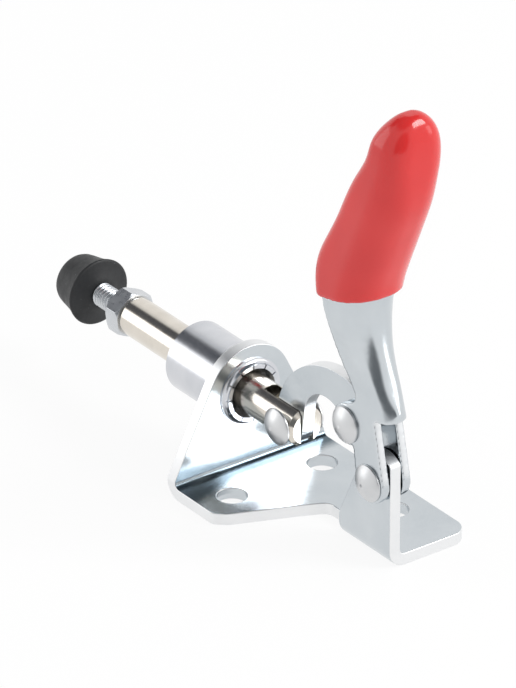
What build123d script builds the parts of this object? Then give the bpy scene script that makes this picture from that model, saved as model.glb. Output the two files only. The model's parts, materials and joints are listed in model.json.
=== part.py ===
"""A small push-pull toggle clamp: folded base, guided plunger, C-shaped link and a gripped handle.

Millimetres. +X runs forward along the plunger to the rubber tip, +Y is left and +Z is up.
The origin is on the underside of the foot, midway between the two front mounting holes.
"""

import os
from math import acos, asin, atan2, cos, degrees, hypot, pi, radians, sin, sqrt

from build123d import *

# Running and seating clearances, and how far a cutting tool reaches past the metal
RUN_GAP = 0.05
SEAT_GAP = 0.02
SIDE_GAP = 0.12
CUT_PAST = 1.0

# Folded base
SHEET = 2.0
BEND_INSIDE = 1.0
FOOT_HALF_WIDTH = 14.4
FOOT_REAR = -29.8
FOOT_CORNER = 3.0
WALL_BACK = 7.06
WALL_LOBE_RADIUS = 7.8
MOUNT_HOLE_RADIUS = 2.4
MOUNT_HOLE_HALF_SPACING = 8.65
MOUNT_HOLE_REAR = -18.15
EAR_END = -2.6
SLANT_START_Y = 12.6
SLANT_END = (-8.6, 2.2)
SLANT_FILLET = 4.0
SLANT_RUN = 1.7
TAB_CORNER = 1.5
TAB_ROUND = 2.0
WEB_FRONT = -17.0
WEB_SLANT_LOW = 4.2
WEB_LOBE_RADIUS = 4.5
WEB_CORNER = 0.8
AXIS_HEIGHT = 14.4

# Pivots, in the plane of the link. The crank is the handle's arm from its own pivot to the link.
PIVOT_X = -26.7
CRANK = (5.7, 7.55)
PLUNGER_PIVOT_X = -4.5

# Travel of the handle from the modelled pose, and what follows it
SWING_FORWARD = 54.0
SWING_BACK = 66.5
LINK_TURN_RATIO = 0.32

# Guide barrel
BARREL_RADIUS = 5.9
BARREL_LENGTH = 12.4
BARREL_CHAMFER = 0.5
SPIGOT_RADIUS = 4.8
STAKE_RADIUS = 5.6
STAKE_THICKNESS = 1.0
STAKE_MOUTH_RADIUS = 4.15
STAKE_SLITS = 12
STAKE_SLIT_WIDTH = 0.25
STAKE_SLIT_FLOOR = 0.2
STAKE_ROUND = 0.8

# Plunger
PLUNGER_RADIUS = 3.25
PLUNGER_REAR = -7.6
PLUNGER_LENGTH = 44.7
PLUNGER_CHAMFER = 0.6
FORK_DEPTH = 9.4

# Link: its crown as seen from the rear eye, and its throat as seen from the front eye
LINK_THICKNESS = 2.2
LINK_REAR_EYE_RADIUS = 3.2
LINK_FRONT_EYE_RADIUS = 3.35
LINK_CROWN_OFFSET = (3.0, 6.25)
LINK_CROWN_LENGTH = 1.5
LINK_THROAT_OFFSET = (-8.8, 3.4)
LINK_THROAT_RADIUS = 5.0
LINK_THROAT_REAR_RISE = 3.2
LINK_MOUTH_GAP = 0.2
LINK_MOUTH_STEPS = 12

# Rivets
SHANK_RADIUS = 1.6
HEAD_RADIUS = 3.0
HEAD_RIM = 0.35
HEAD_DOME = 1.15
TAIL_RADIUS = 2.6
TAIL_RIM = 0.3
TAIL_DOME = 0.9

# Handle channel: the sheet folds round a back and ends in two ears. The hollow in the ears' front
# edge is placed from the handle's pivot, and their shoulder and the window from the link's.
CHANNEL_SHEET = 1.5
EAR_GAP = 2.5
EAR_LOBE_RADIUS = 3.4
EAR_REAR_SETBACK = 1.0
EAR_HOLLOW_OFFSET = (4.1, 4.55)
EAR_SHOULDER_OFFSET = (0.4, 3.4)
WINDOW_TOP_RISE = 3.45
CHANNEL_TOP = 73.0
SECTION_SPACING = 4.0
CHANNEL_BACK_ROUND = 4.2
BACK_ROUND_SHARE = 0.47

# Grip
SLEEVE = 1.2
GRIP_RIM = 44.15
GRIP_RIM_SLOPE = 11.0
GRIP_SHOULDER = 71.0
GRIP_TOP = 78.4
GRIP_FRONT_ROUND = 2.4
CROWN_ANGLES = (22, 43, 62, 76)
CROWN_LEAN = -0.15
CROWN_FLAT = 0.05

# Adjusting screw, nut and tip
SCREW_RADIUS = 1.95
SCREW_CHAMFER = 0.4
SCREW_IN_PLUNGER = 11.0
DRILL_PAST_SCREW = 5.0
NUT_FLATS = 7.0
NUT_THICKNESS = 3.2
NUT_CHAMFER = 0.45
NUT_TURN = 23.0
TIP_BACK = 46.9
TIP_BACK_RADIUS = 5.55
TIP_FRONT_RADIUS = 4.2
TIP_LENGTH = 6.3
TIP_FRONT_ROUND = 0.8
TIP_BACK_ROUND = 0.2
SCREW_HEAD_RADIUS = 3.4
SCREW_HEAD_LENGTH = 2.6
SCREW_HEAD_SETBACK = 1.6


def beyond(point, offset):
    """The side view point at an offset from another point."""
    return (point[0] + offset[0], point[1] + offset[1])


# Derived sizes
PIVOT = (PIVOT_X, AXIS_HEIGHT)
LINK_PIVOT = beyond(PIVOT, CRANK)
PLUNGER_PIVOT = (PLUNGER_PIVOT_X, AXIS_HEIGHT)
LINK_CROWN_REAR, LINK_TOP = beyond(LINK_PIVOT, LINK_CROWN_OFFSET)
LINK_CROWN_FRONT = LINK_CROWN_REAR + LINK_CROWN_LENGTH
LINK_THROAT_CENTRE = beyond(PLUNGER_PIVOT, LINK_THROAT_OFFSET)
EAR_HOLLOW = beyond(PIVOT, EAR_HOLLOW_OFFSET)
EAR_SHOULDER = beyond(LINK_PIVOT, EAR_SHOULDER_OFFSET)
EAR_REAR_TOP = PIVOT_X - EAR_REAR_SETBACK
WINDOW_TOP = LINK_PIVOT[1] + WINDOW_TOP_RISE
BEND_OUTSIDE = BEND_INSIDE + SHEET
WALL_FRONT = WALL_BACK + SHEET
EAR_IN = EAR_GAP / 2
EAR_OUT = EAR_IN + CHANNEL_SHEET
PLUNGER_FRONT = PLUNGER_REAR + PLUNGER_LENGTH
HOLE_RADIUS = SHANK_RADIUS + RUN_GAP

# Level sections of the channel: the share of its height, then the back and the front edge behind
# or ahead of the pivot, and half the width, which starts at the ears' own width
CHANNEL_SECTIONS = (
    (0.000, -3.9, 5.7, EAR_OUT),
    (0.076, -2.7, 4.6, EAR_OUT),
    (0.170, -0.7, 7.3, EAR_OUT + 0.45),
    (0.265, 0.8, 8.8, EAR_OUT + 1.25),
    (0.370, 1.4, 9.7, EAR_OUT + 1.95),
    (0.517, -0.7, 9.1, EAR_OUT + 2.05),
    (0.664, -3.7, 5.3, EAR_OUT + 2.05),
    (0.811, -6.3, 1.9, EAR_OUT + 1.95),
    (0.958, -7.3, -1.9, EAR_OUT + 1.55),
    (1.000, -7.4, -2.9, EAR_OUT + 1.35),
)


def axis_plane(x):
    """A plane across the plunger's axis at x, looking forward."""
    return Plane(origin=(x, 0, AXIS_HEIGHT), x_dir=(0, 1, 0), z_dir=(1, 0, 0))


def side_plane(y):
    """The side view plane at y: its local x is forward and its local y is up."""
    return Plane(origin=(0, y, 0), x_dir=(1, 0, 0), z_dir=(0, -1, 0))


def side_plate(face, centre_y, thickness):
    """A flat plate of the side view face, centred on centre_y."""
    return extrude(side_plane(centre_y) * face, amount=thickness / 2, both=True)


def rod(x, length, radius):
    """A solid cylinder along the plunger's axis, from x forward."""
    return extrude(axis_plane(x) * Circle(radius), amount=length)


def cross_pin(point, y, length, radius):
    """A solid cylinder along Y through a side view point, from y towards the left."""
    plane = Plane(origin=(point[0], y, point[1]), x_dir=(1, 0, 0), z_dir=(0, 1, 0))
    return extrude(plane * Circle(radius), amount=length)


def fold_section(corner):
    """Half of a right-angle fold: the quarter ring between two flat runs, in local x and y."""
    cx, cy = corner
    ring = Pos(cx, cy) * (Circle(BEND_OUTSIDE) - Circle(BEND_INSIDE))
    quarter = Pos(cx + BEND_OUTSIDE / 2, cy - BEND_OUTSIDE / 2) * Rectangle(BEND_OUTSIDE, BEND_OUTSIDE)
    return ring & quarter


def foot_outline():
    """The foot seen from above, up to the folds of the wall and of the web."""
    front = WALL_FRONT - BEND_OUTSIDE
    web_edge = SHEET / 2 - BEND_OUTSIDE
    slant_top = (EAR_END - SLANT_RUN, SLANT_START_Y)
    slant_foot = (SLANT_END[0] - TAB_ROUND, web_edge)
    with BuildSketch() as outline:
        with BuildLine():
            Polyline(
                (front, -FOOT_HALF_WIDTH),
                (FOOT_REAR, -FOOT_HALF_WIDTH),
                (FOOT_REAR, web_edge),
                (WEB_FRONT, web_edge),
                slant_foot,
                SLANT_END,
                slant_top,
                (EAR_END, FOOT_HALF_WIDTH),
                (front, FOOT_HALF_WIDTH),
                close=True,
            )
        make_face()
        corners = outline.vertices()
        fillet(corners.sort_by_distance((FOOT_REAR, -FOOT_HALF_WIDTH))[0], FOOT_CORNER)
        fillet(outline.vertices().sort_by_distance((EAR_END, FOOT_HALF_WIDTH))[0], TAB_CORNER)
        fillet(outline.vertices().sort_by_distance(slant_top)[0], TAB_ROUND)
        fillet(outline.vertices().sort_by_distance(slant_foot)[0], TAB_ROUND)
        fillet(outline.vertices().sort_by_distance(SLANT_END)[0], SLANT_FILLET)
    return outline.sketch


def tangent_point(point, centre, radius, side):
    """Where the tangent from a point touches a circle, on the side given by +1 or -1."""
    away = hypot(point[0] - centre[0], point[1] - centre[1])
    bearing = atan2(point[1] - centre[1], point[0] - centre[0])
    angle = bearing + side * acos(radius / away)
    return (centre[0] + radius * cos(angle), centre[1] + radius * sin(angle))


def wall_outline():
    """The front wall in local y and z: straight flanks that run up into the round lobe."""
    lobe = (0, AXIS_HEIGHT)
    flank = (FOOT_HALF_WIDTH, BEND_OUTSIDE)
    touch = tangent_point(flank, lobe, WALL_LOBE_RADIUS, 1)
    with BuildSketch() as outline:
        with BuildLine():
            Polyline((-flank[0], flank[1]), flank, touch)
            ThreePointArc(touch, (0, AXIS_HEIGHT + WALL_LOBE_RADIUS), (-touch[0], touch[1]))
            Line((-touch[0], touch[1]), (-flank[0], flank[1]))
        make_face()
    return outline.sketch


def web_outline():
    """The rear web in side view: a slanted front edge that runs up into the pivot lobe."""
    low = (WEB_FRONT, WEB_SLANT_LOW)
    touch = tangent_point(low, PIVOT, WEB_LOBE_RADIUS, 1)
    rise = sqrt(WEB_LOBE_RADIUS**2 - (PIVOT[0] - FOOT_REAR) ** 2)
    with BuildSketch() as outline:
        with BuildLine():
            Polyline((FOOT_REAR, BEND_OUTSIDE), (WEB_FRONT, BEND_OUTSIDE), low, touch)
            ThreePointArc(touch, (PIVOT[0], PIVOT[1] + WEB_LOBE_RADIUS), (FOOT_REAR, PIVOT[1] + rise))
            Line((FOOT_REAR, PIVOT[1] + rise), (FOOT_REAR, BEND_OUTSIDE))
        make_face()
        fillet(outline.vertices().sort_by_distance((FOOT_REAR, PIVOT[1] + rise))[0], WEB_CORNER)
    return outline.sketch


def base_bracket():
    """One folded sheet: foot, front wall and rear web."""
    foot = extrude(foot_outline(), amount=SHEET)
    front_fold = extrude(
        side_plane(0) * fold_section((WALL_FRONT - BEND_OUTSIDE, BEND_OUTSIDE)),
        amount=FOOT_HALF_WIDTH,
        both=True,
    )
    across = Plane(origin=(0, 0, 0), x_dir=(0, 1, 0), z_dir=(1, 0, 0))
    wall = extrude(across.offset(WALL_BACK) * wall_outline(), amount=SHEET)
    web_fold = extrude(
        across.offset(FOOT_REAR) * fold_section((SHEET / 2 - BEND_OUTSIDE, BEND_OUTSIDE)),
        amount=WEB_FRONT - FOOT_REAR,
    )
    web = side_plate(web_outline(), 0, SHEET)
    bracket = foot + front_fold + wall + web_fold + web
    for x, y in (
        (0, MOUNT_HOLE_HALF_SPACING),
        (0, -MOUNT_HOLE_HALF_SPACING),
        (MOUNT_HOLE_REAR, -MOUNT_HOLE_HALF_SPACING),
    ):
        bracket -= Pos(x, y, SHEET / 2) * Cylinder(MOUNT_HOLE_RADIUS, 2 * SHEET)
    bracket -= rod(WALL_BACK - CUT_PAST, SHEET + 2 * CUT_PAST, SPIGOT_RADIUS + SEAT_GAP)
    bracket -= cross_pin(PIVOT, -SHEET, 2 * SHEET, HOLE_RADIUS)
    return bracket


def guide_barrel():
    """A turned barrel whose rear spigot passes through the wall and is staked over behind it."""
    bore = PLUNGER_RADIUS + RUN_GAP
    front = WALL_FRONT + BARREL_LENGTH
    back = WALL_BACK - STAKE_THICKNESS
    with BuildSketch(Plane.XY) as profile:
        with BuildLine():
            Polyline(
                (front, bore + BARREL_CHAMFER),
                (front, BARREL_RADIUS - BARREL_CHAMFER),
                (front - BARREL_CHAMFER, BARREL_RADIUS),
                (WALL_FRONT, BARREL_RADIUS),
                (WALL_FRONT, SPIGOT_RADIUS),
                (WALL_BACK, SPIGOT_RADIUS),
                (WALL_BACK, STAKE_RADIUS),
                (back + STAKE_ROUND, STAKE_RADIUS),
            )
            RadiusArc((back + STAKE_ROUND, STAKE_RADIUS), (back, STAKE_RADIUS - STAKE_ROUND), STAKE_ROUND)
            Polyline(
                (back, STAKE_RADIUS - STAKE_ROUND),
                (back, STAKE_MOUTH_RADIUS),
                (WALL_BACK, bore),
                (front - BARREL_CHAMFER, bore),
                (front, bore + BARREL_CHAMFER),
            )
        make_face()
    barrel = Pos(0, 0, AXIS_HEIGHT) * revolve(Plane.XZ * profile.sketch, Axis.X)
    slit_length = STAKE_RADIUS - STAKE_MOUTH_RADIUS + CUT_PAST
    slit = Box(STAKE_THICKNESS, STAKE_SLIT_WIDTH, slit_length)
    for step in range(STAKE_SLITS):
        turn = Rot(360 * step / STAKE_SLITS, 0, 0)
        place = Pos(back, 0, STAKE_MOUTH_RADIUS + slit_length / 2 - STAKE_SLIT_FLOOR)
        barrel -= Pos(0, 0, AXIS_HEIGHT) * turn * place * slit
    return barrel


def plunger():
    """A turned rod, forked at the rear for the link and drilled at the front for the screw."""
    body = rod(PLUNGER_REAR, PLUNGER_LENGTH, PLUNGER_RADIUS)
    body = chamfer(body.edges().filter_by(GeomType.CIRCLE).sort_by(Axis.X)[0], PLUNGER_CHAMFER)
    body = chamfer(body.edges().filter_by(GeomType.CIRCLE).sort_by(Axis.X)[-1], PLUNGER_CHAMFER / 2)
    slot = Box(FORK_DEPTH, LINK_THICKNESS + 2 * SIDE_GAP, 3 * PLUNGER_RADIUS)
    body -= Pos(PLUNGER_REAR + FORK_DEPTH / 2, 0, AXIS_HEIGHT) * slot
    body -= cross_pin(PLUNGER_PIVOT, -2 * PLUNGER_RADIUS, 4 * PLUNGER_RADIUS, SHANK_RADIUS + SEAT_GAP)
    hole_depth = SCREW_IN_PLUNGER + DRILL_PAST_SCREW
    body -= rod(PLUNGER_FRONT - hole_depth, hole_depth + CUT_PAST, SCREW_RADIUS + RUN_GAP)
    return body


def cap_middle(radius, height, base):
    """The point halfway along a round cap's profile, for a cap of that radius and height."""
    ball = (radius**2 + height**2) / (2 * height)
    angle = asin(radius / ball) / 2
    return (ball * sin(angle), base + height - ball * (1 - cos(angle)))


def rivet(point, grip_half):
    """A rivet across the mechanism: a domed head on the left and a flatter formed tail on the right."""
    head_base = grip_half + HEAD_RIM
    tail_base = grip_half + TAIL_RIM
    tail_middle = cap_middle(TAIL_RADIUS, TAIL_DOME, tail_base)
    with BuildSketch(Plane.XY) as profile:
        with BuildLine():
            Line((0, -tail_base - TAIL_DOME), (0, head_base + HEAD_DOME))
            ThreePointArc(
                (0, head_base + HEAD_DOME),
                cap_middle(HEAD_RADIUS, HEAD_DOME, head_base),
                (HEAD_RADIUS, head_base),
            )
            Polyline(
                (HEAD_RADIUS, head_base),
                (HEAD_RADIUS, grip_half),
                (SHANK_RADIUS, grip_half),
                (SHANK_RADIUS, -grip_half),
                (TAIL_RADIUS, -grip_half),
                (TAIL_RADIUS, -tail_base),
            )
            ThreePointArc(
                (TAIL_RADIUS, -tail_base),
                (tail_middle[0], -tail_middle[1]),
                (0, -tail_base - TAIL_DOME),
            )
        make_face()
    return Pos(point[0], 0, point[1]) * revolve(profile.sketch, Axis.Y)


def linkage(turn):
    """Where the handle's link pivot is, in the link's own rest frame, when the handle has turned.

    turn is in degrees, positive as the handle swings back. The modelled link keeps a constant
    ratio to the handle, so its open rear eye leaves the pivot by this much.
    """
    crank = hypot(LINK_PIVOT[0] - PIVOT[0], LINK_PIVOT[1] - PIVOT[1])
    start = atan2(LINK_PIVOT[1] - PIVOT[1], LINK_PIVOT[0] - PIVOT[0])
    length = hypot(LINK_PIVOT[0] - PLUNGER_PIVOT[0], LINK_PIVOT[1] - PLUNGER_PIVOT[1])
    angle = start + radians(turn)
    pin = (PIVOT[0] + crank * cos(angle), PIVOT[1] + crank * sin(angle))
    slide = -slide_per_degree(crank, length, start) * turn
    lean = asin((LINK_PIVOT[1] - AXIS_HEIGHT) / length) + radians(LINK_TURN_RATIO * turn)
    eye = (PLUNGER_PIVOT[0] + slide - length * cos(lean), AXIS_HEIGHT + length * sin(lean))
    dx, dz = pin[0] - eye[0], pin[1] - eye[1]
    back = radians(LINK_TURN_RATIO * turn)
    return (cos(back) * dx - sin(back) * dz, sin(back) * dx + cos(back) * dz)


def slide_per_degree(crank, length, start):
    """The plunger's travel for each degree of handle, as one mean ratio over the whole swing."""
    ends = []
    for turn in (-SWING_FORWARD, SWING_BACK):
        angle = start + radians(turn)
        ends.append(crank * cos(angle) + sqrt(length**2 - (crank * sin(angle)) ** 2))
    return (ends[0] - ends[1]) / (SWING_FORWARD + SWING_BACK)


def link_outline():
    """The C-shaped link in side view: two eyes joined by a crowned band round an open throat."""
    front_x, front_z = PLUNGER_PIVOT
    rear_x, rear_z = LINK_PIVOT
    span = LINK_CROWN_REAR - rear_x
    fall = LINK_TOP - rear_z
    rear_arc = (span**2 + fall**2 - LINK_REAR_EYE_RADIUS**2) / (2 * (fall - LINK_REAR_EYE_RADIUS))
    reach = front_x - LINK_CROWN_FRONT
    height = LINK_TOP - front_z
    eye = LINK_FRONT_EYE_RADIUS
    front_arc = (reach**2 + height**2 - eye**2) / (2 * (height - eye))
    rear_centre = (LINK_CROWN_REAR, LINK_TOP - rear_arc)
    front_centre = (LINK_CROWN_FRONT, LINK_TOP - front_arc)
    rear_angle = atan2(rear_z - rear_centre[1], rear_x - rear_centre[0])
    front_angle = atan2(front_z - front_centre[1], front_x - front_centre[0])
    rear_touch = (rear_centre[0] + rear_arc * cos(rear_angle), rear_centre[1] + rear_arc * sin(rear_angle))
    front_touch = (
        front_centre[0] + front_arc * cos(front_angle),
        front_centre[1] + front_arc * sin(front_angle),
    )
    rear_mid = radians(90 + (degrees(rear_angle) % 360 - 90) / 2)
    front_mid = (pi / 2 + front_angle) / 2
    throat_x, throat_z = LINK_THROAT_CENTRE
    throat_front = (throat_x + LINK_THROAT_RADIUS, throat_z)
    throat_rear = (rear_x + LINK_REAR_EYE_RADIUS, throat_z + LINK_THROAT_REAR_RISE)
    with BuildSketch() as outline:
        with BuildLine():
            ThreePointArc(
                rear_touch,
                (rear_centre[0] + rear_arc * cos(rear_mid), rear_centre[1] + rear_arc * sin(rear_mid)),
                (LINK_CROWN_REAR, LINK_TOP),
            )
            Line((LINK_CROWN_REAR, LINK_TOP), (LINK_CROWN_FRONT, LINK_TOP))
            ThreePointArc(
                (LINK_CROWN_FRONT, LINK_TOP),
                (front_centre[0] + front_arc * cos(front_mid), front_centre[1] + front_arc * sin(front_mid)),
                front_touch,
            )
            Polyline(
                front_touch,
                (front_x, front_z),
                (front_x - eye, front_z),
                throat_front,
            )
            ThreePointArc(
                throat_front,
                (throat_x, throat_z + LINK_THROAT_RADIUS),
                throat_rear,
            )
            Polyline(throat_rear, (rear_x, rear_z), rear_touch)
        make_face()
        with Locations(PLUNGER_PIVOT):
            Circle(eye)
        with Locations(LINK_PIVOT):
            Circle(LINK_REAR_EYE_RADIUS)
    return outline.sketch


def link():
    """A flat stamping. Its rear eye is open below and behind, where the pivot leaves it."""
    blank = link_outline()
    swing = SWING_FORWARD + SWING_BACK
    turns = [swing * k / LINK_MOUTH_STEPS - SWING_FORWARD for k in range(LINK_MOUTH_STEPS + 1)]
    edges = []
    for dx, dz in [linkage(turn) for turn in turns] + [(0, 0)]:
        place = Pos(LINK_PIVOT[0] + dx, LINK_PIVOT[1] + dz)
        edges += (place * Circle(HOLE_RADIUS + LINK_MOUTH_GAP)).edges()
    plate = side_plate(blank - make_hull(edges), 0, LINK_THICKNESS)
    plate -= cross_pin(PLUNGER_PIVOT, -LINK_THICKNESS, 2 * LINK_THICKNESS, HOLE_RADIUS)
    return plate


def channel_at(height):
    """The channel's section at one height: (height, back, front, half width, back corner).

    It is read by a smooth curve through the values of the named sections.
    """
    share = (height - WINDOW_TOP) / (CHANNEL_TOP - WINDOW_TOP)
    keys = CHANNEL_SECTIONS
    low = max(k for k in range(len(keys) - 1) if keys[k][0] <= max(share, 0))
    step = keys[low + 1][0] - keys[low][0]
    t = (share - keys[low][0]) / step
    values = []
    for item in (1, 2, 3):
        value = (2 * t**3 - 3 * t**2 + 1) * keys[low][item] + (3 * t**2 - 2 * t**3) * keys[low + 1][item]
        value += (t**3 - 2 * t**2 + t) * step * slope_at(keys, low, item)
        value += (t**3 - t**2) * step * slope_at(keys, low + 1, item)
        values.append(value)
    back, front, half_width = PIVOT[0] + values[0], PIVOT[0] + values[1], values[2]
    corner = min(CHANNEL_BACK_ROUND, half_width - RUN_GAP, BACK_ROUND_SHARE * (front - back))
    return (height, back, front, half_width, corner)


def slope_at(keys, index, item):
    """The slope of one value at a named section, from the sections on both sides of it."""
    before = keys[max(index - 1, 0)]
    after = keys[min(index + 1, len(keys) - 1)]
    return (after[item] - before[item]) / (after[0] - before[0])


def even_heights(low, high, spacing):
    """Heights from low to high in equal steps of about the spacing."""
    steps = round((high - low) / spacing)
    return [low + (high - low) * k / steps for k in range(steps + 1)]


def closed_section(station, grow):
    """One level section of the channel as if its front were closed, grown outwards by grow."""
    height, back, front, half_width, corner = station
    face = Rectangle(front - back + 2 * grow, 2 * (half_width + grow))
    face = fillet(face.vertices().group_by(Axis.X)[0], corner + grow)
    return Pos((front + back) / 2, 0, height) * face


def trough_section(station):
    """One level section of the folded sheet: rounded at the back and open in front."""
    height, back, front, half_width, corner = station
    width = 2 * (half_width - CHANNEL_SHEET)
    hollow = Rectangle(front - back, width)
    hollow = fillet(hollow.vertices().group_by(Axis.X)[0], corner - CHANNEL_SHEET)
    return closed_section(station, 0) - Pos((front + back) / 2 + CHANNEL_SHEET, 0, height) * hollow


def ear_outline():
    """One ear in side view: lobes at both pivots, a hollowed front and a straight rear edge."""
    rear_touch = tangent_point((EAR_REAR_TOP, WINDOW_TOP), PIVOT, EAR_LOBE_RADIUS, 1)
    top_front = (channel_at(WINDOW_TOP)[2], WINDOW_TOP)
    with BuildSketch() as outline:
        with BuildLine():
            Polyline(
                (EAR_REAR_TOP, WINDOW_TOP),
                rear_touch,
                PIVOT,
                (PIVOT[0] + EAR_LOBE_RADIUS, PIVOT[1]),
                EAR_HOLLOW,
                LINK_PIVOT,
                EAR_SHOULDER,
                top_front,
                close=True,
            )
        make_face()
        with Locations(PIVOT, LINK_PIVOT):
            Circle(EAR_LOBE_RADIUS)
    return outline.sketch


def handle_channel():
    """One folded sheet: a trough that is cut away at the back below and ends in two ears."""
    heights = even_heights(WINDOW_TOP, CHANNEL_TOP, SECTION_SPACING)
    channel = loft([trough_section(channel_at(height)) for height in heights])
    for side in (1, -1):
        channel += side_plate(ear_outline(), side * (EAR_IN + CHANNEL_SHEET / 2), CHANNEL_SHEET)
    for point in (PIVOT, LINK_PIVOT):
        channel -= cross_pin(point, -2 * EAR_OUT, 4 * EAR_OUT, SHANK_RADIUS + SEAT_GAP)
    return channel


def grip_section(height, back, front, half_width, back_round, front_round):
    """One level section of the grip, rounded more at the back than at the front."""
    face = Rectangle(front - back, 2 * half_width)
    face = fillet(face.vertices().group_by(Axis.X)[0], back_round)
    face = fillet(face.vertices().group_by(Axis.X)[-1], front_round)
    return Pos((front + back) / 2, 0, height) * face


def grip():
    """A dipped sleeve over the upper channel, closed at the top and open at its rim."""
    sections = []
    low = GRIP_RIM - SLEEVE - CHANNEL_SHEET
    for height in even_heights(low, GRIP_SHOULDER, SECTION_SPACING):
        back, front, half_width, corner = channel_at(height)[1:]
        outside = (back - SLEEVE, front + SLEEVE, half_width + SLEEVE, corner + SLEEVE)
        sections.append(grip_section(height, *outside, GRIP_FRONT_ROUND))
    middle = (outside[0] + outside[1]) / 2
    crown_height = GRIP_TOP - GRIP_SHOULDER
    for angle in CROWN_ANGLES:
        shrink = cos(radians(angle))
        height = GRIP_SHOULDER + crown_height * sin(radians(angle)) / sin(radians(CROWN_ANGLES[-1]))
        centre = middle + CROWN_LEAN * (height - GRIP_SHOULDER)
        half_depth = shrink * (outside[1] - outside[0]) / 2
        half_width = shrink * outside[2]
        corner = min(half_depth, half_width) - CROWN_FLAT
        front_corner = min(GRIP_FRONT_ROUND, corner)
        sections.append(
            grip_section(height, centre - half_depth, centre + half_depth, half_width, corner, front_corner)
        )
    heights = even_heights(WINDOW_TOP, CHANNEL_TOP, SECTION_SPACING)
    core = loft([closed_section(channel_at(height), SEAT_GAP) for height in heights])
    rim = channel_at(GRIP_RIM)
    below = Plane(origin=((rim[1] + rim[2]) / 2, 0, GRIP_RIM), z_dir=(0, 0, -1))
    below = below.rotated((0, GRIP_RIM_SLOPE, 0))
    return loft(sections) - core - extrude(below * Rectangle(GRIP_TOP, GRIP_TOP), amount=GRIP_RIM)


def spindle():
    """The adjusting screw, with a round head that the rubber tip is moulded over."""
    start = PLUNGER_FRONT - SCREW_IN_PLUNGER
    head_start = TIP_BACK + SCREW_HEAD_SETBACK
    shank = rod(start, head_start - start, SCREW_RADIUS)
    shank = chamfer(shank.edges().filter_by(GeomType.CIRCLE).sort_by(Axis.X)[0], SCREW_CHAMFER)
    return shank + rod(head_start, SCREW_HEAD_LENGTH, SCREW_HEAD_RADIUS)


def lock_nut():
    """A hexagon nut with both rims chamfered."""
    plane = axis_plane(PLUNGER_FRONT)
    corner_radius = NUT_FLATS / sqrt(3)
    blank = extrude(plane * Rot(0, 0, NUT_TURN) * RegularPolygon(corner_radius, 6), amount=NUT_THICKNESS)
    turned = rod(PLUNGER_FRONT, NUT_THICKNESS, corner_radius)
    turned = chamfer(turned.edges().filter_by(GeomType.CIRCLE), NUT_CHAMFER)
    bore = rod(PLUNGER_FRONT - CUT_PAST, NUT_THICKNESS + 2 * CUT_PAST, SCREW_RADIUS + RUN_GAP)
    return (blank & turned) - bore


def rubber_tip():
    """A moulded cap that holds the screw's head and narrows a little towards its front."""
    front = axis_plane(TIP_BACK).offset(TIP_LENGTH)
    body = loft([axis_plane(TIP_BACK) * Circle(TIP_BACK_RADIUS), front * Circle(TIP_FRONT_RADIUS)])
    body = fillet(body.edges().filter_by(GeomType.CIRCLE).sort_by(Axis.X)[-1], TIP_FRONT_ROUND)
    body = fillet(body.edges().filter_by(GeomType.CIRCLE).sort_by(Axis.X)[0], TIP_BACK_ROUND)
    head_start = TIP_BACK + SCREW_HEAD_SETBACK
    body -= rod(TIP_BACK - CUT_PAST, SCREW_HEAD_SETBACK + CUT_PAST, SCREW_RADIUS + SEAT_GAP)
    body -= rod(head_start, SCREW_HEAD_LENGTH, SCREW_HEAD_RADIUS)
    return body


def main():
    """Builds each piece and writes it under its own name."""
    os.makedirs("parts", exist_ok=True)
    pieces = {
        "base_bracket": base_bracket(),
        "guide_barrel": guide_barrel(),
        "plunger": plunger(),
        "link": link(),
        "handle_channel": handle_channel(),
        "grip": grip(),
        "pivot_rivet": rivet(PIVOT, EAR_OUT),
        "link_rivet": rivet(LINK_PIVOT, EAR_OUT),
        "plunger_rivet": rivet(PLUNGER_PIVOT, PLUNGER_RADIUS),
        "spindle": spindle(),
        "lock_nut": lock_nut(),
        "rubber_tip": rubber_tip(),
    }
    for name, piece in pieces.items():
        export_step(piece, f"parts/{name}.step")


main()
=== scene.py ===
"""Looks for the toggle clamp: rounded sheet edges, a threaded screw, a dipped grip, metals and rubber.

Metres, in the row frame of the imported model: +X forward to the rubber tip, +Y left, +Z up.
"""

import json
import math

import bmesh
import bpy
from mathutils import Matrix, Vector
from mathutils.bvhtree import BVHTree


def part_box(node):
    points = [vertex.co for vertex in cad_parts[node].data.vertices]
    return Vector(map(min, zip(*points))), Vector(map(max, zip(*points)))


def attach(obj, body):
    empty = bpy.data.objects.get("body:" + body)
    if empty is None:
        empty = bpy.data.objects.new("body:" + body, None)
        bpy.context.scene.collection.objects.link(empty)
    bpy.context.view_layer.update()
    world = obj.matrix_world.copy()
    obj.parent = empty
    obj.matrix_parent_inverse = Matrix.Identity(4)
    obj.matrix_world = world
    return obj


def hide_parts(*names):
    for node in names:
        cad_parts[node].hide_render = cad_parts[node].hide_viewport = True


MM = 0.001

# Camera, matched to the photograph
CAMERA_PLACE = Vector((-858.33, 642.49, 610.03)) * MM
CAMERA_LOOK = Vector((0.70439, -0.52421, -0.47857))
CAMERA_RIGHT = Vector((-0.59648, -0.80263, 0.00123))
CAMERA_LENS = 418.6
CAMERA_SENSOR = 36.0

# Studio floor, its own glow as the camera and reflections see it, and the level of the light
FLOOR_HALF = 0.3
FLOOR_DROP = 0.02 * MM
FLOOR_TONE = 0.95
FLOOR_GLOW = 0.88
LIGHT_LEVEL = 0.78

# Soft lamps: name, direction from the object, size and power
AIM = Vector((-5, 0, 30)) * MM
LAMP_DISTANCE = 0.9
LAMPS = (
    ("key", (-0.63, -0.53, 0.56), 0.32, 3.4),
    ("front_panel", (0.72, 0.65, 0.22), 0.55, 1.1),
    ("rear_panel", (-0.66, -0.74, 0.12), 0.3, 0.6),
)

# The ceiling in reflections: how high a direction is where it starts and where it is dimmest
WHITE = (1.0, 1.0, 1.0)
CEILING = (0.66, 0.80)
CEILING_SHADE = (0.12, 0.14, 0.16)

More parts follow.
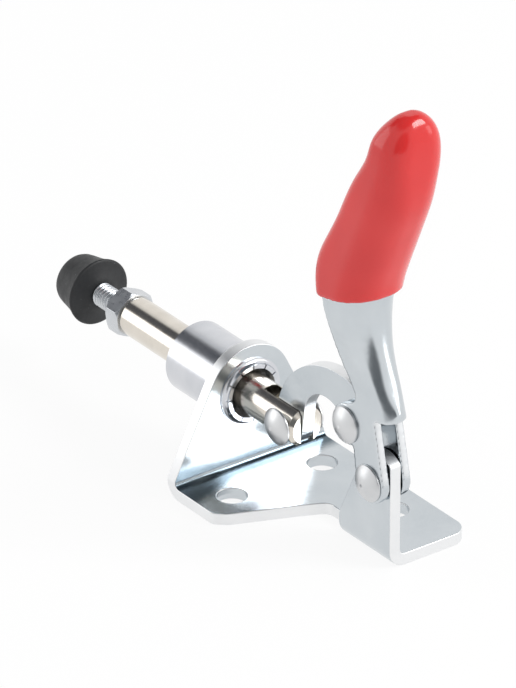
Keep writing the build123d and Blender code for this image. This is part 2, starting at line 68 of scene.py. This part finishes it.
# Dim parts of the surroundings: direction, degrees out to the edge and to the full shade, shade
DIM_GAP = ((0.70, 0.25, 0.665), 19, 12, (0.10, 0.105, 0.12))
DIM_ROOM = ((-0.84, 0.53, 0.04), 38, 26, (0.16, 0.17, 0.18))

# Rounding of the cut edges, and the angle above which an edge counts as sharp
SHEET_EDGE = 0.3 * MM
TURNED_EDGE = 0.12 * MM
SHARP_ANGLE = math.radians(32)

# Copies of CAD meshes: points this near are one, and faces this flat to each other are one
WELD = 0.5e-6
FLAT_ANGLE = math.radians(0.6)

# Metals: light tone, dark tone and range of roughness
SHEET_ZINC = ((0.62, 0.655, 0.68), (0.55, 0.59, 0.62), (0.16, 0.24))
RIVET_ZINC = ((0.72, 0.725, 0.73), (0.62, 0.63, 0.64), (0.34, 0.44))
SCREW_ZINC = ((0.66, 0.68, 0.70), (0.52, 0.54, 0.57), (0.24, 0.34))
BARREL_ZINC = ((0.66, 0.67, 0.70), (0.60, 0.615, 0.65), (0.18, 0.26))
NICKEL = ((0.76, 0.715, 0.645), (0.68, 0.635, 0.57), (0.12, 0.18))

# Depth of the grain and of turned rings, and how far pressed sheet swells in and out of true
SHEET_GRAIN = 0.003 * MM
RIVET_GRAIN = 0.002 * MM
RING_DEPTH = 0.0008 * MM
SHEET_SWELL = 0.5 * MM

# The part of a noise's range that holds most of its values
NOISE_LOW = 0.3
NOISE_HIGH = 0.7

# Sheet thicknesses
BASE_SHEET = 2.0 * MM
LINK_THICKNESS = 2.2 * MM
CHANNEL_SHEET = 1.5 * MM

# Cut edges of sheet: paler, a painted highlight, and rougher, and found by depth of metal, as a share of
# the thickness
CUT_EDGE = "cut_edge"
CUT_PAINTED_HIGHLIGHT = (0.26, 0.23, 0.21)
CUT_ROUGHER = 0.2
CUT_DEPTH = 1.2
CUT_SOFTENING = 8
HOLE_WIDTH = 6 * MM
RAY_START = 0.001 * MM

# Painted shade on the foot's top along the inside of the front fold: its tone, and where it starts and
# ends by x and z
FOLD_PAINTED_SHADE = (0.20, 0.25, 0.285)
FOLD_BAND = (3.0 * MM, 6.0 * MM)
FOLD_END = (7.3 * MM, 7.1 * MM)
FOLD_BOTTOM = (0.8 * MM, 1.2 * MM)
FOLD_TOP = (2.9 * MM, 2.3 * MM)

# The waves in its edge, and where it widens to the left and how far
FOLD_WAVES = 1.4 * MM
FOLD_CORNER = (4 * MM, 14 * MM)
FOLD_CORNER_REACH = 2.6 * MM

# Axis of the plunger, and painted shade in the countersink round it behind the wall
AXIS_HEIGHT = 14.4 * MM
RECESS_RADIUS = 4.1 * MM
RECESS_END = 7.2 * MM
RECESS_PAINTED_SHADE = 0.3
RECESS_SHADE_BLUR = 0.08 * MM

# Screw thread
THREAD_PITCH = 0.7 * MM
THREAD_CREST = 1.95 * MM
THREAD_ROOT = 1.58 * MM
THREAD_SIDES = 40
THREAD_STEPS = 10

# Section of the thread's ridge: its height in the middle, cut off at 1, and its fall in a pitch
RIDGE_HEIGHT = 1.35
RIDGE_FALL = 3.4

# Screw head inside the tip
SCREW_HEAD_SETBACK = 1.6 * MM
SCREW_HEAD_RADIUS = 3.4 * MM
SCREW_HEAD_SIDES = 48

# Rubber tip in profile, in mm: ahead of its back face, and out from the axis
TIP_PROFILE = (
    (-0.75, 1.7),
    (-0.75, 2.25),
    (-0.55, 2.75),
    (-0.2, 3.6),
    (0.0, 5.1),
    (0.04, 5.4),
    (0.2, 5.55),
    (0.5, 5.47),
    (1.2, 5.2),
    (2.2, 4.93),
    (3.4, 4.7),
    (4.6, 4.5),
    (5.4, 4.33),
    (5.9, 4.1),
    (6.2, 3.75),
    (6.3, 3.4),
    (6.3, 0.8),
)
TIP_SIDES = 96

# Even skins over the lofted pieces: the size of a cell, and how often it is smoothed
CHANNEL_VOXEL = 0.21 * MM
CHANNEL_SMOOTH = 14
GRIP_VOXEL = 0.28 * MM
GRIP_SMOOTH = 12


def tree_of(name):
    """A new material with one Principled shader: returns the material, its tree and the shader."""
    material = bpy.data.materials.new(name)
    material.use_nodes = True
    tree = material.node_tree
    return material, tree, tree.nodes["Principled BSDF"]


def join(tree, source, socket):
    """Links an output to a socket, or sets a constant on it."""
    if isinstance(source, bpy.types.NodeSocket):
        tree.links.new(source, socket)
    else:
        socket.default_value = source


def maths(tree, operation, *sources, clamp=False):
    """The result of a Math node."""
    node = tree.nodes.new("ShaderNodeMath")
    node.operation = operation
    node.use_clamp = clamp
    for source, socket in zip(sources, node.inputs):
        join(tree, source, socket)
    return node.outputs["Value"]


def vector_maths(tree, operation, *sources):
    """The result of a Vector Math node."""
    node = tree.nodes.new("ShaderNodeVectorMath")
    node.operation = operation
    for source, socket in zip(sources, node.inputs):
        join(tree, source, socket)
    return node.outputs["Value" if operation in ("LENGTH", "DOT_PRODUCT") else "Vector"]


def between(tree, value, start, end, low=0.0, high=1.0, kind="LINEAR"):
    """The value, mapped from start..end to low..high. high may be another node's output."""
    node = tree.nodes.new("ShaderNodeMapRange")
    node.interpolation_type = kind
    for name, source in (("From Min", start), ("From Max", end), ("To Min", low), ("To Max", high)):
        join(tree, source, node.inputs[name])
    tree.links.new(value, node.inputs["Value"])
    return node.outputs["Result"]


def place_on(tree, kind="Object"):
    """The place on the object, in the row frame, or for the world the direction looked in."""
    return tree.nodes.new("ShaderNodeTexCoord").outputs[kind]


def axes_of(tree, vector):
    """The x, y and z of a vector."""
    node = tree.nodes.new("ShaderNodeSeparateXYZ")
    tree.links.new(vector, node.inputs["Vector"])
    return node.outputs["X"], node.outputs["Y"], node.outputs["Z"]


def noise(tree, scale, detail=3.0, rough=0.5, stretch=(1, 1, 1)):
    """Noise in the row frame. scale is in features per metre, and stretch squeezes it by axis."""
    mapping = tree.nodes.new("ShaderNodeMapping")
    mapping.inputs["Scale"].default_value = stretch
    tree.links.new(place_on(tree), mapping.inputs["Vector"])
    texture = tree.nodes.new("ShaderNodeTexNoise")
    texture.inputs["Scale"].default_value = scale
    texture.inputs["Detail"].default_value = detail
    texture.inputs["Roughness"].default_value = rough
    tree.links.new(mapping.outputs["Vector"], texture.inputs["Vector"])
    return texture.outputs["Fac"]


def ramp(tree, factor, stops):
    """A colour ramp over the factor, with stops as (position, colour)."""
    node = tree.nodes.new("ShaderNodeValToRGB")
    elements = node.color_ramp.elements
    while len(elements) < len(stops):
        elements.new(0.5)
    for element, (position, colour) in zip(elements, stops):
        element.position = position
        element.color = (*colour, 1)
    tree.links.new(factor, node.inputs["Fac"])
    return node.outputs["Color"]


def bump(tree, shader, *layers):
    """Bump from (height, depth in metres) layers, stacked one on the other."""
    normal = None
    for height, depth in layers:
        node = tree.nodes.new("ShaderNodeBump")
        node.inputs["Distance"].default_value = depth
        tree.links.new(height, node.inputs["Height"])
        if normal:
            tree.links.new(normal, node.inputs["Normal"])
        normal = node.outputs["Normal"]
    tree.links.new(normal, shader.inputs["Normal"])


def zinc(name, light, dark, rough, grain_depth, fold=False):
    """Zinc-plated sheet: cloudy tone, soft grain from rolling, fine pits, and cut edges that are rougher
    and painted paler as a painted highlight.

    With fold, the foot's top gets blue-grey painted shade along the inside of the front fold.
    """
    material, tree, shader = tree_of(name)
    clouds = noise(tree, 110, detail=4, rough=0.6)
    grain = noise(tree, 900, detail=4, rough=0.65)
    pits = noise(tree, 3200, detail=2)
    swell = noise(tree, 60, detail=1)
    node = tree.nodes.new("ShaderNodeAttribute")
    node.attribute_name = CUT_EDGE
    cut = node.outputs["Fac"]
    colour = ramp(tree, clouds, [(NOISE_LOW, dark), (NOISE_HIGH, light)])
    # Cut edges painted paler: a painted highlight where the rounded edges catch the light
    colour = vector_maths(tree, "MULTIPLY_ADD", cut, CUT_PAINTED_HIGHLIGHT, colour)
    # Painted shade along the inside of the front fold
    if fold:
        colour = shade_painted_in_fold(tree, colour, cut)
    tree.links.new(colour, shader.inputs["Base Color"])
    shader.inputs["Metallic"].default_value = 1.0
    sheen = between(tree, grain, NOISE_LOW, NOISE_HIGH, *rough)
    sheen = maths(tree, "MULTIPLY_ADD", cut, CUT_ROUGHER, sheen)
    tree.links.new(sheen, shader.inputs["Roughness"])
    bump(tree, shader, (swell, SHEET_SWELL), (grain, grain_depth), (pits, grain_depth * 0.2))
    return material


def shade_painted_in_fold(tree, colour, cut):
    """The colour, with blue-grey painted shade on the foot's top beside the front wall, wider at its
    left corner.
    """
    x, y, z = axes_of(tree, place_on(tree))
    ripples = noise(tree, 320, detail=4, rough=0.65)
    wavy = maths(tree, "MULTIPLY_ADD", ripples, FOLD_WAVES, x)
    reach = maths(tree, "ADD", wavy, between(tree, y, *FOLD_CORNER, 0.0, FOLD_CORNER_REACH))
    share = 1.0
    for value, limits in ((reach, FOLD_BAND), (x, FOLD_END), (z, FOLD_BOTTOM), (z, FOLD_TOP)):
        share = between(tree, value, *limits, 0.0, share, kind="SMOOTHSTEP")
    flat = maths(tree, "SUBTRACT", share, cut, clamp=True)
    # Painted shade: the flat top is multiplied towards the blue-grey shade tone
    return vector_maths(tree, "MULTIPLY", colour, ramp(tree, flat, [(0.0, WHITE), (1.0, FOLD_PAINTED_SHADE)]))


def turned(name, light, dark, rough, recess=False):
    """Turned or ground metal: fine rings round the axis, with a few broader tone changes.

    With recess, the countersink round the axis gets painted shade.
    """
    material, tree, shader = tree_of(name)
    rings = noise(tree, 4000, detail=3, stretch=(1, 0.03, 0.03))
    tone = noise(tree, 260, detail=3, stretch=(1, 0.5, 0.5))
    specks = noise(tree, 2600, detail=3, rough=0.7)
    colour = ramp(tree, tone, [(0.35, dark), (0.65, light)])
    # Painted shade in the countersink round the axis
    if recess:
        colour = shade_painted_in_recess(tree, colour)
    tree.links.new(colour, shader.inputs["Base Color"])
    shader.inputs["Metallic"].default_value = 1.0
    sheen = between(tree, specks, NOISE_LOW, NOISE_HIGH, *rough)
    tree.links.new(sheen, shader.inputs["Roughness"])
    bump(tree, shader, (rings, RING_DEPTH), (specks, RING_DEPTH * 0.6))
    return material


def shade_painted_in_recess(tree, colour):
    """The colour, with painted shade in the countersink round the plunger's axis."""
    place = place_on(tree)
    across = vector_maths(tree, "MULTIPLY_ADD", place, (0, 1, 1), (0, 0, -AXIS_HEIGHT))
    radius = vector_maths(tree, "LENGTH", across)
    x, _, _ = axes_of(tree, place)
    shares = []
    for value, edge in ((radius, RECESS_RADIUS), (x, RECESS_END)):
        shares.append(between(tree, value, edge - RECESS_SHADE_BLUR, edge + RECESS_SHADE_BLUR, RECESS_PAINTED_SHADE))
    return vector_maths(tree, "MULTIPLY", colour, maths(tree, "MAXIMUM", *shares))


def dipped_plastic():
    """Glossy red dip with faint waves and a slightly uneven tone."""
    material, tree, shader = tree_of("red_grip")
    tone = noise(tree, 60, detail=2)
    waves = noise(tree, 150, detail=0)
    reds = [(NOISE_LOW, (0.62, 0.022, 0.022)), (NOISE_HIGH, (0.70, 0.034, 0.032))]
    colour = ramp(tree, tone, reds)
    tree.links.new(colour, shader.inputs["Base Color"])
    shader.inputs["Roughness"].default_value = 0.15
    shader.inputs["IOR"].default_value = 1.5
    shader.inputs["Subsurface Weight"].default_value = 0.08
    shader.inputs["Subsurface Radius"].default_value = (0.002, 0.0006, 0.0005)
    shader.inputs["Subsurface Scale"].default_value = 1.0
    bump(tree, shader, (waves, 0.05 * MM))
    return material


def moulded_rubber():
    """Near-black rubber: matte, slightly grained, with pale dust specks and scuffs."""
    material, tree, shader = tree_of("black_rubber")
    specks = noise(tree, 1500, detail=3, rough=0.7)
    scuffs = noise(tree, 420, detail=4, rough=0.7, stretch=(1.6, 1, 1))
    blacks = [(0.0, (0.010, 0.011, 0.012)), (0.68, (0.016, 0.017, 0.019))]
    dust = (0.78, (0.12, 0.125, 0.13))
    tree.links.new(ramp(tree, specks, [*blacks, dust]), shader.inputs["Base Color"])
    sheen = between(tree, scuffs, NOISE_LOW, NOISE_HIGH, 0.42, 0.62)
    tree.links.new(sheen, shader.inputs["Roughness"])
    shader.inputs["Specular IOR Level"].default_value = 0.45
    bump(tree, shader, (scuffs, 0.03 * MM), (specks, 0.01 * MM))
    return material


def clean_copy(node):
    """A welded copy of a CAD node's mesh with flat regions merged, ready for rounding."""
    mesh = bpy.data.meshes.new(node + "_look")
    work = bmesh.new()
    work.from_mesh(frame["nodes"][node].data)
    bmesh.ops.remove_doubles(work, verts=work.verts, dist=WELD)
    bmesh.ops.dissolve_limit(
        work, angle_limit=FLAT_ANGLE, verts=work.verts, edges=work.edges, delimit={"NORMAL"}
    )
    for face in work.faces:
        face.smooth = True
    for edge in work.edges:
        edge.smooth = edge.calc_face_angle(0) < SHARP_ANGLE
    work.to_mesh(mesh)
    work.free()
    return mesh


def shown(name, mesh, node, material):
    """A new piece that stands for a CAD node, on that node's body."""
    piece = bpy.data.objects.new(name, mesh)
    bpy.context.scene.collection.objects.link(piece)
    mesh.materials.clear()
    mesh.materials.append(material)
    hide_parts(node)
    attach(piece, body_of[node])
    return piece


def rounded(node, edge, material):
    """A CAD node with its cut edges rounded, so that they catch the light as pressed edges do."""
    piece = shown(node + "_look", clean_copy(node), node, material)
    bevel = piece.modifiers.new("edges", "BEVEL")
    bevel.width = edge
    bevel.segments = 3
    bevel.limit_method = "ANGLE"
    bevel.angle_limit = SHARP_ANGLE
    bevel.harden_normals = True
    bevel.use_clamp_overlap = True
    return piece


def points_on_faces(mesh):
    """A point on each face, also where its outline is hollow: its largest triangle's middle."""
    mesh.calc_loop_triangles()
    largest = {}
    for triangle in mesh.loop_triangles:
        known = largest.get(triangle.polygon_index)
        if known is None or triangle.area > known.area:
            largest[triangle.polygon_index] = triangle
    points = []
    for polygon in mesh.polygons:
        corners = [mesh.vertices[index].co for index in largest[polygon.index].vertices]
        points.append(sum(corners, Vector()) / 3)
    return points


def mark_cut_edges(piece, thickness, even_skin=False):
    """Marks a sheet's cut edges, but not its holes: deep metal is behind them and none before.

    On an even skin, whose edges are soft, the marks fade out over a few cells.
    """
    mesh = piece.data
    tree = BVHTree.FromPolygons([v.co for v in mesh.vertices], [p.vertices[:] for p in mesh.polygons])
    marks = []
    for polygon, point in zip(mesh.polygons, points_on_faces(mesh)):
        away = polygon.normal * RAY_START
        depth = tree.ray_cast(point - away, -polygon.normal, CUT_DEPTH * thickness)[3]
        across = tree.ray_cast(point + away, polygon.normal, HOLE_WIDTH)[3]
        marks.append(1.0 if depth is None and across is None else 0.0)
    if even_skin:
        marks = softened(mesh, marks)
    domain = "POINT" if even_skin else "FACE"
    mesh.attributes.new(CUT_EDGE, "FLOAT", domain).data.foreach_set("value", marks)


def softened(mesh, face_marks):
    """Face marks as point marks, each averaged with its neighbours a few times."""
    totals = [0.0] * len(mesh.vertices)
    counts = [0] * len(mesh.vertices)
    for polygon, mark in zip(mesh.polygons, face_marks):
        for index in polygon.vertices:
            totals[index] += mark
            counts[index] += 1
    marks = [total / max(count, 1) for total, count in zip(totals, counts)]
    for _ in range(CUT_SOFTENING):
        totals = marks[:]
        counts = [1] * len(marks)
        for edge in mesh.edges:
            one, other = edge.vertices
            totals[one] += marks[other]
            totals[other] += marks[one]
            counts[one] += 1
            counts[other] += 1
        marks = [total / count for total, count in zip(totals, counts)]
    return marks


def apply_modifiers(piece):
    """Turns a piece's modifiers into plain mesh."""
    graph = bpy.context.evaluated_depsgraph_get()
    mesh = bpy.data.meshes.new_from_object(piece.evaluated_get(graph))
    piece.modifiers.clear()
    piece.data = mesh


def threaded_screw(material):
    """The adjusting screw with a real helix, inside the outline of its CAD solid."""
    low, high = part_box("spindle")
    axis_z = (low.z + high.z) / 2
    head_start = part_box("rubber_tip")[0].x + SCREW_HEAD_SETBACK
    work = bmesh.new()
    step = THREAD_PITCH / THREAD_STEPS
    count = int((head_start - low.x) / step)
    rings = []
    for k in range(count + 1):
        x = low.x + (head_start - low.x) * k / count
        fade = min(1.0, (x - low.x) / THREAD_PITCH)
        ring = []
        for side in range(THREAD_SIDES):
            turn = side / THREAD_SIDES
            phase = (x / THREAD_PITCH - turn) % 1.0
            ridge = min(1.0, max(0.0, RIDGE_HEIGHT - abs(phase - 0.5) * RIDGE_FALL))
            radius = THREAD_ROOT + (THREAD_CREST - THREAD_ROOT) * ridge * fade
            angle = 2 * math.pi * turn
            ring.append(work.verts.new((x, radius * math.cos(angle), axis_z + radius * math.sin(angle))))
        rings.append(ring)
    for near, far in zip(rings, rings[1:]):
        for side in range(THREAD_SIDES):
            other = (side + 1) % THREAD_SIDES
            work.faces.new((near[side], near[other], far[other], far[side]))
    work.faces.new(reversed(rings[0]))
    work.faces.new(rings[-1])
    middle = Matrix.Translation(((high.x + head_start) / 2, 0, axis_z))
    head = bmesh.ops.create_cone(
        work,
        segments=SCREW_HEAD_SIDES,
        radius1=SCREW_HEAD_RADIUS,
        radius2=SCREW_HEAD_RADIUS,
        depth=high.x - head_start,
        cap_ends=True,
        matrix=middle @ Matrix.Rotation(math.pi / 2, 4, "Y"),
    )
    bmesh.ops.recalc_face_normals(work, faces=work.faces)
    for face in work.faces:
        face.smooth = len(face.verts) == 4
    for vertex in head["verts"]:
        for edge in vertex.link_edges:
            edge.smooth = edge.calc_face_angle(0) < SHARP_ANGLE
    mesh = bpy.data.meshes.new("spindle_look")
    work.to_mesh(mesh)
    work.free()
    return shown("spindle_look", mesh, "spindle", material)


def moulded_tip(material):
    """The cap as a turned profile: slightly waisted, with a low collar round the screw."""
    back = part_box("rubber_tip")[0].x
    work = bmesh.new()
    rings = []
    for ahead, radius in TIP_PROFILE:
        ring = []
        for side in range(TIP_SIDES):
            angle = 2 * math.pi * side / TIP_SIDES
            y, z = radius * MM * math.cos(angle), AXIS_HEIGHT + radius * MM * math.sin(angle)
            ring.append(work.verts.new((back + ahead * MM, y, z)))
        rings.append(ring)
    for near, far in zip(rings, rings[1:]):
        for side in range(TIP_SIDES):
            other = (side + 1) % TIP_SIDES
            work.faces.new((near[side], near[other], far[other], far[side]))
    work.faces.new(rings[-1])
    bmesh.ops.recalc_face_normals(work, faces=work.faces)
    for face in work.faces:
        face.smooth = True
    mesh = bpy.data.meshes.new("rubber_tip_look")
    work.to_mesh(mesh)
    work.free()
    return shown("rubber_tip_look", mesh, "rubber_tip", material)


def soft_skin(node, voxel, iterations, material):
    """A CAD node as one even skin with softened edges, for lofted sheet and dipped plastic."""
    piece = shown(node + "_look", clean_copy(node), node, material)
    remesh = piece.modifiers.new("skin", "REMESH")
    remesh.mode = "VOXEL"
    remesh.voxel_size = voxel
    smooth = piece.modifiers.new("soften", "SMOOTH")
    smooth.factor = 0.5
    smooth.iterations = iterations
    apply_modifiers(piece)
    for polygon in piece.data.polygons:
        polygon.use_smooth = True
    return piece


def studio():
    """A pale floor that keeps the shadow, white surroundings with dim parts, and soft lamps."""
    pale_floor()
    world = bpy.data.worlds.new("studio")
    bpy.context.scene.world = world
    world.use_nodes = True
    tree = world.node_tree
    lit = tree.nodes["Background"]
    lit.inputs["Color"].default_value = (*WHITE, 1)
    lit.inputs["Strength"].default_value = LIGHT_LEVEL
    seen = tree.nodes.new("ShaderNodeBackground")
    seen.inputs["Strength"].default_value = 1.0
    tree.links.new(studio_surroundings(tree), seen.inputs["Color"])
    mix = tree.nodes.new("ShaderNodeMixShader")
    tree.links.new(seen_directly(tree), mix.inputs["Fac"])
    tree.links.new(lit.outputs["Background"], mix.inputs[1])
    tree.links.new(seen.outputs["Background"], mix.inputs[2])
    tree.links.new(mix.outputs["Shader"], tree.nodes["World Output"].inputs["Surface"])
    for lamp in LAMPS:
        softbox(*lamp)


def pale_floor():
    """A floor that takes the shadow, and looks nearly white to the camera and in reflections."""
    bpy.ops.mesh.primitive_plane_add(size=2 * FLOOR_HALF, location=(0, 0, -FLOOR_DROP))
    floor = bpy.context.object
    floor.name = "floor"
    material, tree, shader = tree_of("floor")
    shader.inputs["Base Color"].default_value = (FLOOR_TONE, FLOOR_TONE, FLOOR_TONE, 1)
    shader.inputs["Roughness"].default_value = 0.9
    shader.inputs["Specular IOR Level"].default_value = 0.1
    glow = tree.nodes.new("ShaderNodeEmission")
    glow.inputs["Color"].default_value = (*WHITE, 1)
    glow.inputs["Strength"].default_value = 1.0
    mix = tree.nodes.new("ShaderNodeMixShader")
    share = maths(tree, "MULTIPLY", seen_directly(tree), FLOOR_GLOW)
    tree.links.new(share, mix.inputs["Fac"])
    tree.links.new(shader.outputs["BSDF"], mix.inputs[1])
    tree.links.new(glow.outputs["Emission"], mix.inputs[2])
    tree.links.new(mix.outputs["Shader"], tree.nodes["Material Output"].inputs["Surface"])
    floor.data.materials.append(material)


def seen_directly(tree):
    """1 for camera, glossy and transmission rays, else 0."""
    path = tree.nodes.new("ShaderNodeLightPath")
    total = path.outputs["Is Camera Ray"]
    for name in ("Is Glossy Ray", "Is Transmission Ray"):
        total = maths(tree, "MAXIMUM", total, path.outputs[name])
    return total


def studio_surroundings(tree):
    """White all round for the camera. Reflections also show a dim ceiling, a dim gap above the
    front panel and a dim room behind the camera."""
    place = place_on(tree, "Generated")
    start, end = CEILING
    _, _, height = axes_of(tree, place)
    total = ramp(tree, height, [(start, WHITE), (end, CEILING_SHADE)])
    for toward, edge, middle, shade in (DIM_GAP, DIM_ROOM):
        facing = vector_maths(tree, "DOT_PRODUCT", place, Vector(toward).normalized())
        stops = [(math.cos(math.radians(edge)), WHITE), (math.cos(math.radians(middle)), shade)]
        total = vector_maths(tree, "MULTIPLY", total, ramp(tree, facing, stops))
    camera = tree.nodes.new("ShaderNodeLightPath").outputs["Is Camera Ray"]
    return vector_maths(tree, "MAXIMUM", total, camera)


def softbox(name, toward, size, power):
    """A square area lamp in a direction from the object, aimed at it."""
    data = bpy.data.lights.new(name, "AREA")
    data.shape = "SQUARE"
    data.size = size
    data.energy = power
    lamp = bpy.data.objects.new(name, data)
    direction = Vector(toward).normalized()
    lamp.location = AIM + direction * LAMP_DISTANCE
    lamp.rotation_euler = direction.to_track_quat("Z", "Y").to_euler()
    bpy.context.scene.collection.objects.link(lamp)


def photo_camera():
    """The camera at the photograph's place, from its look and right directions."""
    data = bpy.data.cameras.new("camera")
    data.lens = CAMERA_LENS
    data.sensor_width = CAMERA_SENSOR
    data.clip_end = 20
    camera = bpy.data.objects.new("camera", data)
    back = -CAMERA_LOOK.normalized()
    right = CAMERA_RIGHT.normalized()
    up = back.cross(right)
    turn = Matrix((right, up, back)).transposed()
    camera.matrix_world = Matrix.Translation(CAMERA_PLACE) @ turn.to_4x4()
    bpy.context.scene.collection.objects.link(camera)
    bpy.context.scene.camera = camera


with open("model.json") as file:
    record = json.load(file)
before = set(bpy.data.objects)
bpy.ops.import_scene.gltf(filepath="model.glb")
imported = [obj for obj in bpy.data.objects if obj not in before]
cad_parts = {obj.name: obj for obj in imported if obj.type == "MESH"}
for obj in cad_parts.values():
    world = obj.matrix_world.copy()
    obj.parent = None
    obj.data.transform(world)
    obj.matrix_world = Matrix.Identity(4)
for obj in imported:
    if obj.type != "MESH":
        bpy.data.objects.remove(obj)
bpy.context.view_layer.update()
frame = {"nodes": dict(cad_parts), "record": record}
body_of = {n: b for b, nodes in frame["record"]["behaviour"]["bodies"].items() for n in nodes}

sheet = zinc("zinc_sheet", *SHEET_ZINC, SHEET_GRAIN)
base = zinc("zinc_base_painted_shade", *SHEET_ZINC, SHEET_GRAIN, fold=True)
rivet = zinc("rivet_zinc", *RIVET_ZINC, RIVET_GRAIN)
screw = zinc("screw_zinc", *SCREW_ZINC, SHEET_GRAIN)
barrel = turned("zinc_barrel", *BARREL_ZINC, recess=True)
nickel = turned("nickel", *NICKEL)

bracket_look = rounded("base_bracket", SHEET_EDGE, base)
link_look = rounded("link", SHEET_EDGE, sheet)
for piece, thickness in ((bracket_look, BASE_SHEET), (link_look, LINK_THICKNESS)):
    apply_modifiers(piece)
    mark_cut_edges(piece, thickness)
channel_look = soft_skin("handle_channel", CHANNEL_VOXEL, CHANNEL_SMOOTH, sheet)
mark_cut_edges(channel_look, CHANNEL_SHEET, even_skin=True)
rounded("guide_barrel", TURNED_EDGE / 2, barrel)
rounded("plunger", TURNED_EDGE, nickel)
for node in ("pivot_rivet", "link_rivet", "plunger_rivet"):
    rounded(node, TURNED_EDGE, rivet)
rounded("lock_nut", TURNED_EDGE, screw)
moulded_tip(moulded_rubber())
threaded_screw(screw)
soft_skin("grip", GRIP_VOXEL, GRIP_SMOOTH, dipped_plastic())

studio()
photo_camera()
bpy.context.scene.view_settings.view_transform = "Standard"
